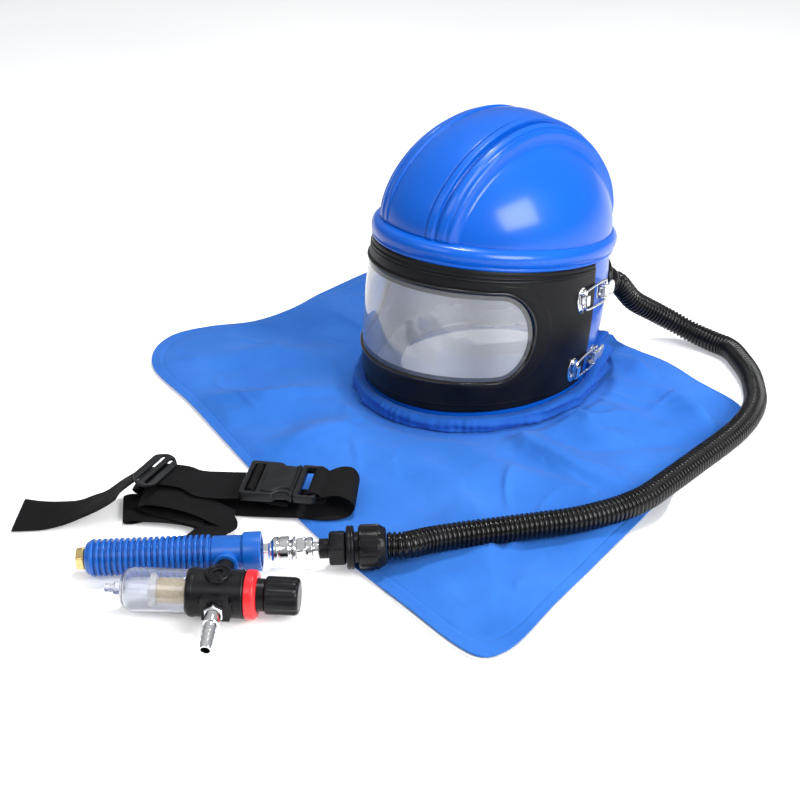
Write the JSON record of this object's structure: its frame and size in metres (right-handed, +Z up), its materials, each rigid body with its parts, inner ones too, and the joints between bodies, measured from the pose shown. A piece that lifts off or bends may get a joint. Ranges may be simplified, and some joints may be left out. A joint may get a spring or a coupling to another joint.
{
  "type": "sandblasting hood",
  "caption": "Air-fed sandblasting hood: hard blue helmet with wrap-round window, cloth cape, corrugated air hose, finned cooler with filter regulator, and waist belt",
  "frame": {"origin": "on the floor under the middle of everything except the air hose and its fittings", "axes": "+Z up, the window faces -Y, the wearer's left side is +X"},
  "size_m": [0.7223, 0.8573, 0.3223],
  "materials": {
    "shell_blue": "glossy moulded",
    "frame_rubber": "satin black",
    "lens_clear": "clear",
    "chrome": "polished",
    "cloth_blue": "coated woven cloth",
    "cloth_white": "woven cloth",
    "plastic_black": "satin moulded",
    "brass": "bright",
    "cooler_blue": "anodised",
    "plastic_clear": "clear moulded",
    "filter_tan": "sintered",
    "plastic_white": "moulded",
    "plastic_red": "satin moulded",
    "webbing_black": "woven webbing",
    "plastic_grey": "satin moulded"
  },
  "bodies": {
    "hood": {"helmet_shell": "shell_blue", "window_frame": "frame_rubber", "window_bead": "frame_rubber", "visor_lens": "lens_clear", "catch_left_upper": "chrome", "latch_base_left_upper": "chrome", "catch_left_lower": "chrome", "latch_base_left_lower": "chrome", "catch_right_upper": "chrome", "latch_base_right_upper": "chrome", "catch_right_lower": "chrome", "latch_base_right_lower": "chrome", "neck_band": "cloth_blue", "inner_collar": "cloth_white", "cape_lower": "cloth_white", "cape_upper": "cloth_blue", "hose_port": "plastic_black", "cooler_nut": "brass", "cooler": "cooler_blue", "branch_nipple": "plastic_black", "belt_keeper": "plastic_black", "coupler_socket": "chrome", "coupler_plug": "chrome", "hose_adapter": "plastic_black", "gland_flange": "plastic_black", "gland_nut": "plastic_black", "drain_valve": "plastic_clear", "regulator_bowl": "plastic_clear", "filter_element": "filter_tan", "bowl_baffle": "plastic_white", "regulator_body": "plastic_black", "port_plug": "plastic_black", "lock_ring": "plastic_red", "inlet_barb": "chrome", "air_hose": "plastic_black", "belt_tail": "webbing_black", "belt_upper": "webbing_black", "belt_lower": "webbing_black", "belt_loop": "webbing_black", "belt_pile": "webbing_black", "buckle_socket": "plastic_grey", "buckle_plug": "plastic_grey", "belt_slider": "plastic_grey"},
    "lever_left_upper": {"latch_lever_left_upper": "chrome"},
    "bail_left_upper": {"latch_bail_left_upper": "chrome"},
    "lever_left_lower": {"latch_lever_left_lower": "chrome"},
    "bail_left_lower": {"latch_bail_left_lower": "chrome"},
    "lever_right_upper": {"latch_lever_right_upper": "chrome"},
    "bail_right_upper": {"latch_bail_right_upper": "chrome"},
    "lever_right_lower": {"latch_lever_right_lower": "chrome"},
    "bail_right_lower": {"latch_bail_right_lower": "chrome"},
    "knob": {"regulator_knob": "plastic_black"},
    "sleeve": {"coupler_sleeve": "chrome"}
  },
  "joints": [
    {"name": "lever_left_upper_hinge", "type": "hinge", "parent": "hood", "child": "lever_left_upper", "pos_m": [0.08911, 0.26837, 0.12598], "axis": [0.0885, -0.0924, -0.9918], "range_deg": [0, 90]},
    {"name": "bail_left_upper_hinge", "type": "hinge", "parent": "lever_left_upper", "child": "bail_left_upper", "pos_m": [0.08599, 0.27569, 0.12502], "axis": [0.0885, -0.0924, -0.9918], "range_deg": [-78.3, 0]},
    {"name": "lever_left_lower_hinge", "type": "hinge", "parent": "hood", "child": "lever_left_lower", "pos_m": [0.09128, 0.2555, 0.04647], "axis": [-0.0973, -0.0635, -0.9932], "range_deg": [0, 90]},
    {"name": "bail_left_lower_hinge", "type": "hinge", "parent": "lever_left_lower", "child": "bail_left_lower", "pos_m": [0.08803, 0.26283, 0.04632], "axis": [-0.0973, -0.0635, -0.9932], "range_deg": [-78.3, 0]},
    {"name": "lever_right_upper_hinge", "type": "hinge", "parent": "hood", "child": "lever_right_upper", "pos_m": [-0.14671, 0.26837, 0.12598], "axis": [0.0885, 0.0924, 0.9918], "range_deg": [0, 90]},
    {"name": "bail_right_upper_hinge", "type": "hinge", "parent": "lever_right_upper", "child": "bail_right_upper", "pos_m": [-0.14359, 0.27569, 0.12502], "axis": [0.0885, 0.0924, 0.9918], "range_deg": [-78.3, 0]},
    {"name": "lever_right_lower_hinge", "type": "hinge", "parent": "hood", "child": "lever_right_lower", "pos_m": [-0.14888, 0.2555, 0.04647], "axis": [-0.0973, 0.0635, 0.9932], "range_deg": [0, 90]},
    {"name": "bail_right_lower_hinge", "type": "hinge", "parent": "lever_right_lower", "child": "bail_right_lower", "pos_m": [-0.14563, 0.26283, 0.04632], "axis": [-0.0973, 0.0635, 0.9932], "range_deg": [-78.3, 0]},
    {"name": "knob_turn", "type": "hinge", "parent": "hood", "child": "knob", "pos_m": [0.18649, -0.274, 0.0232], "axis": [0.723, 0.6909, 0], "range_deg": [0, 300]},
    {"name": "sleeve_slide", "type": "slide", "parent": "hood", "child": "sleeve", "axis": [-0.6478, -0.7612, -0.0297], "range_m": [0, 0.003]}
  ],
  "couplings": [
    {"joint": "bail_left_upper_hinge", "follows": "lever_left_upper_hinge", "ratio": -0.87},
    {"joint": "bail_left_lower_hinge", "follows": "lever_left_lower_hinge", "ratio": -0.87},
    {"joint": "bail_right_upper_hinge", "follows": "lever_right_upper_hinge", "ratio": -0.87},
    {"joint": "bail_right_lower_hinge", "follows": "lever_right_lower_hinge", "ratio": -0.87}
  ]
}
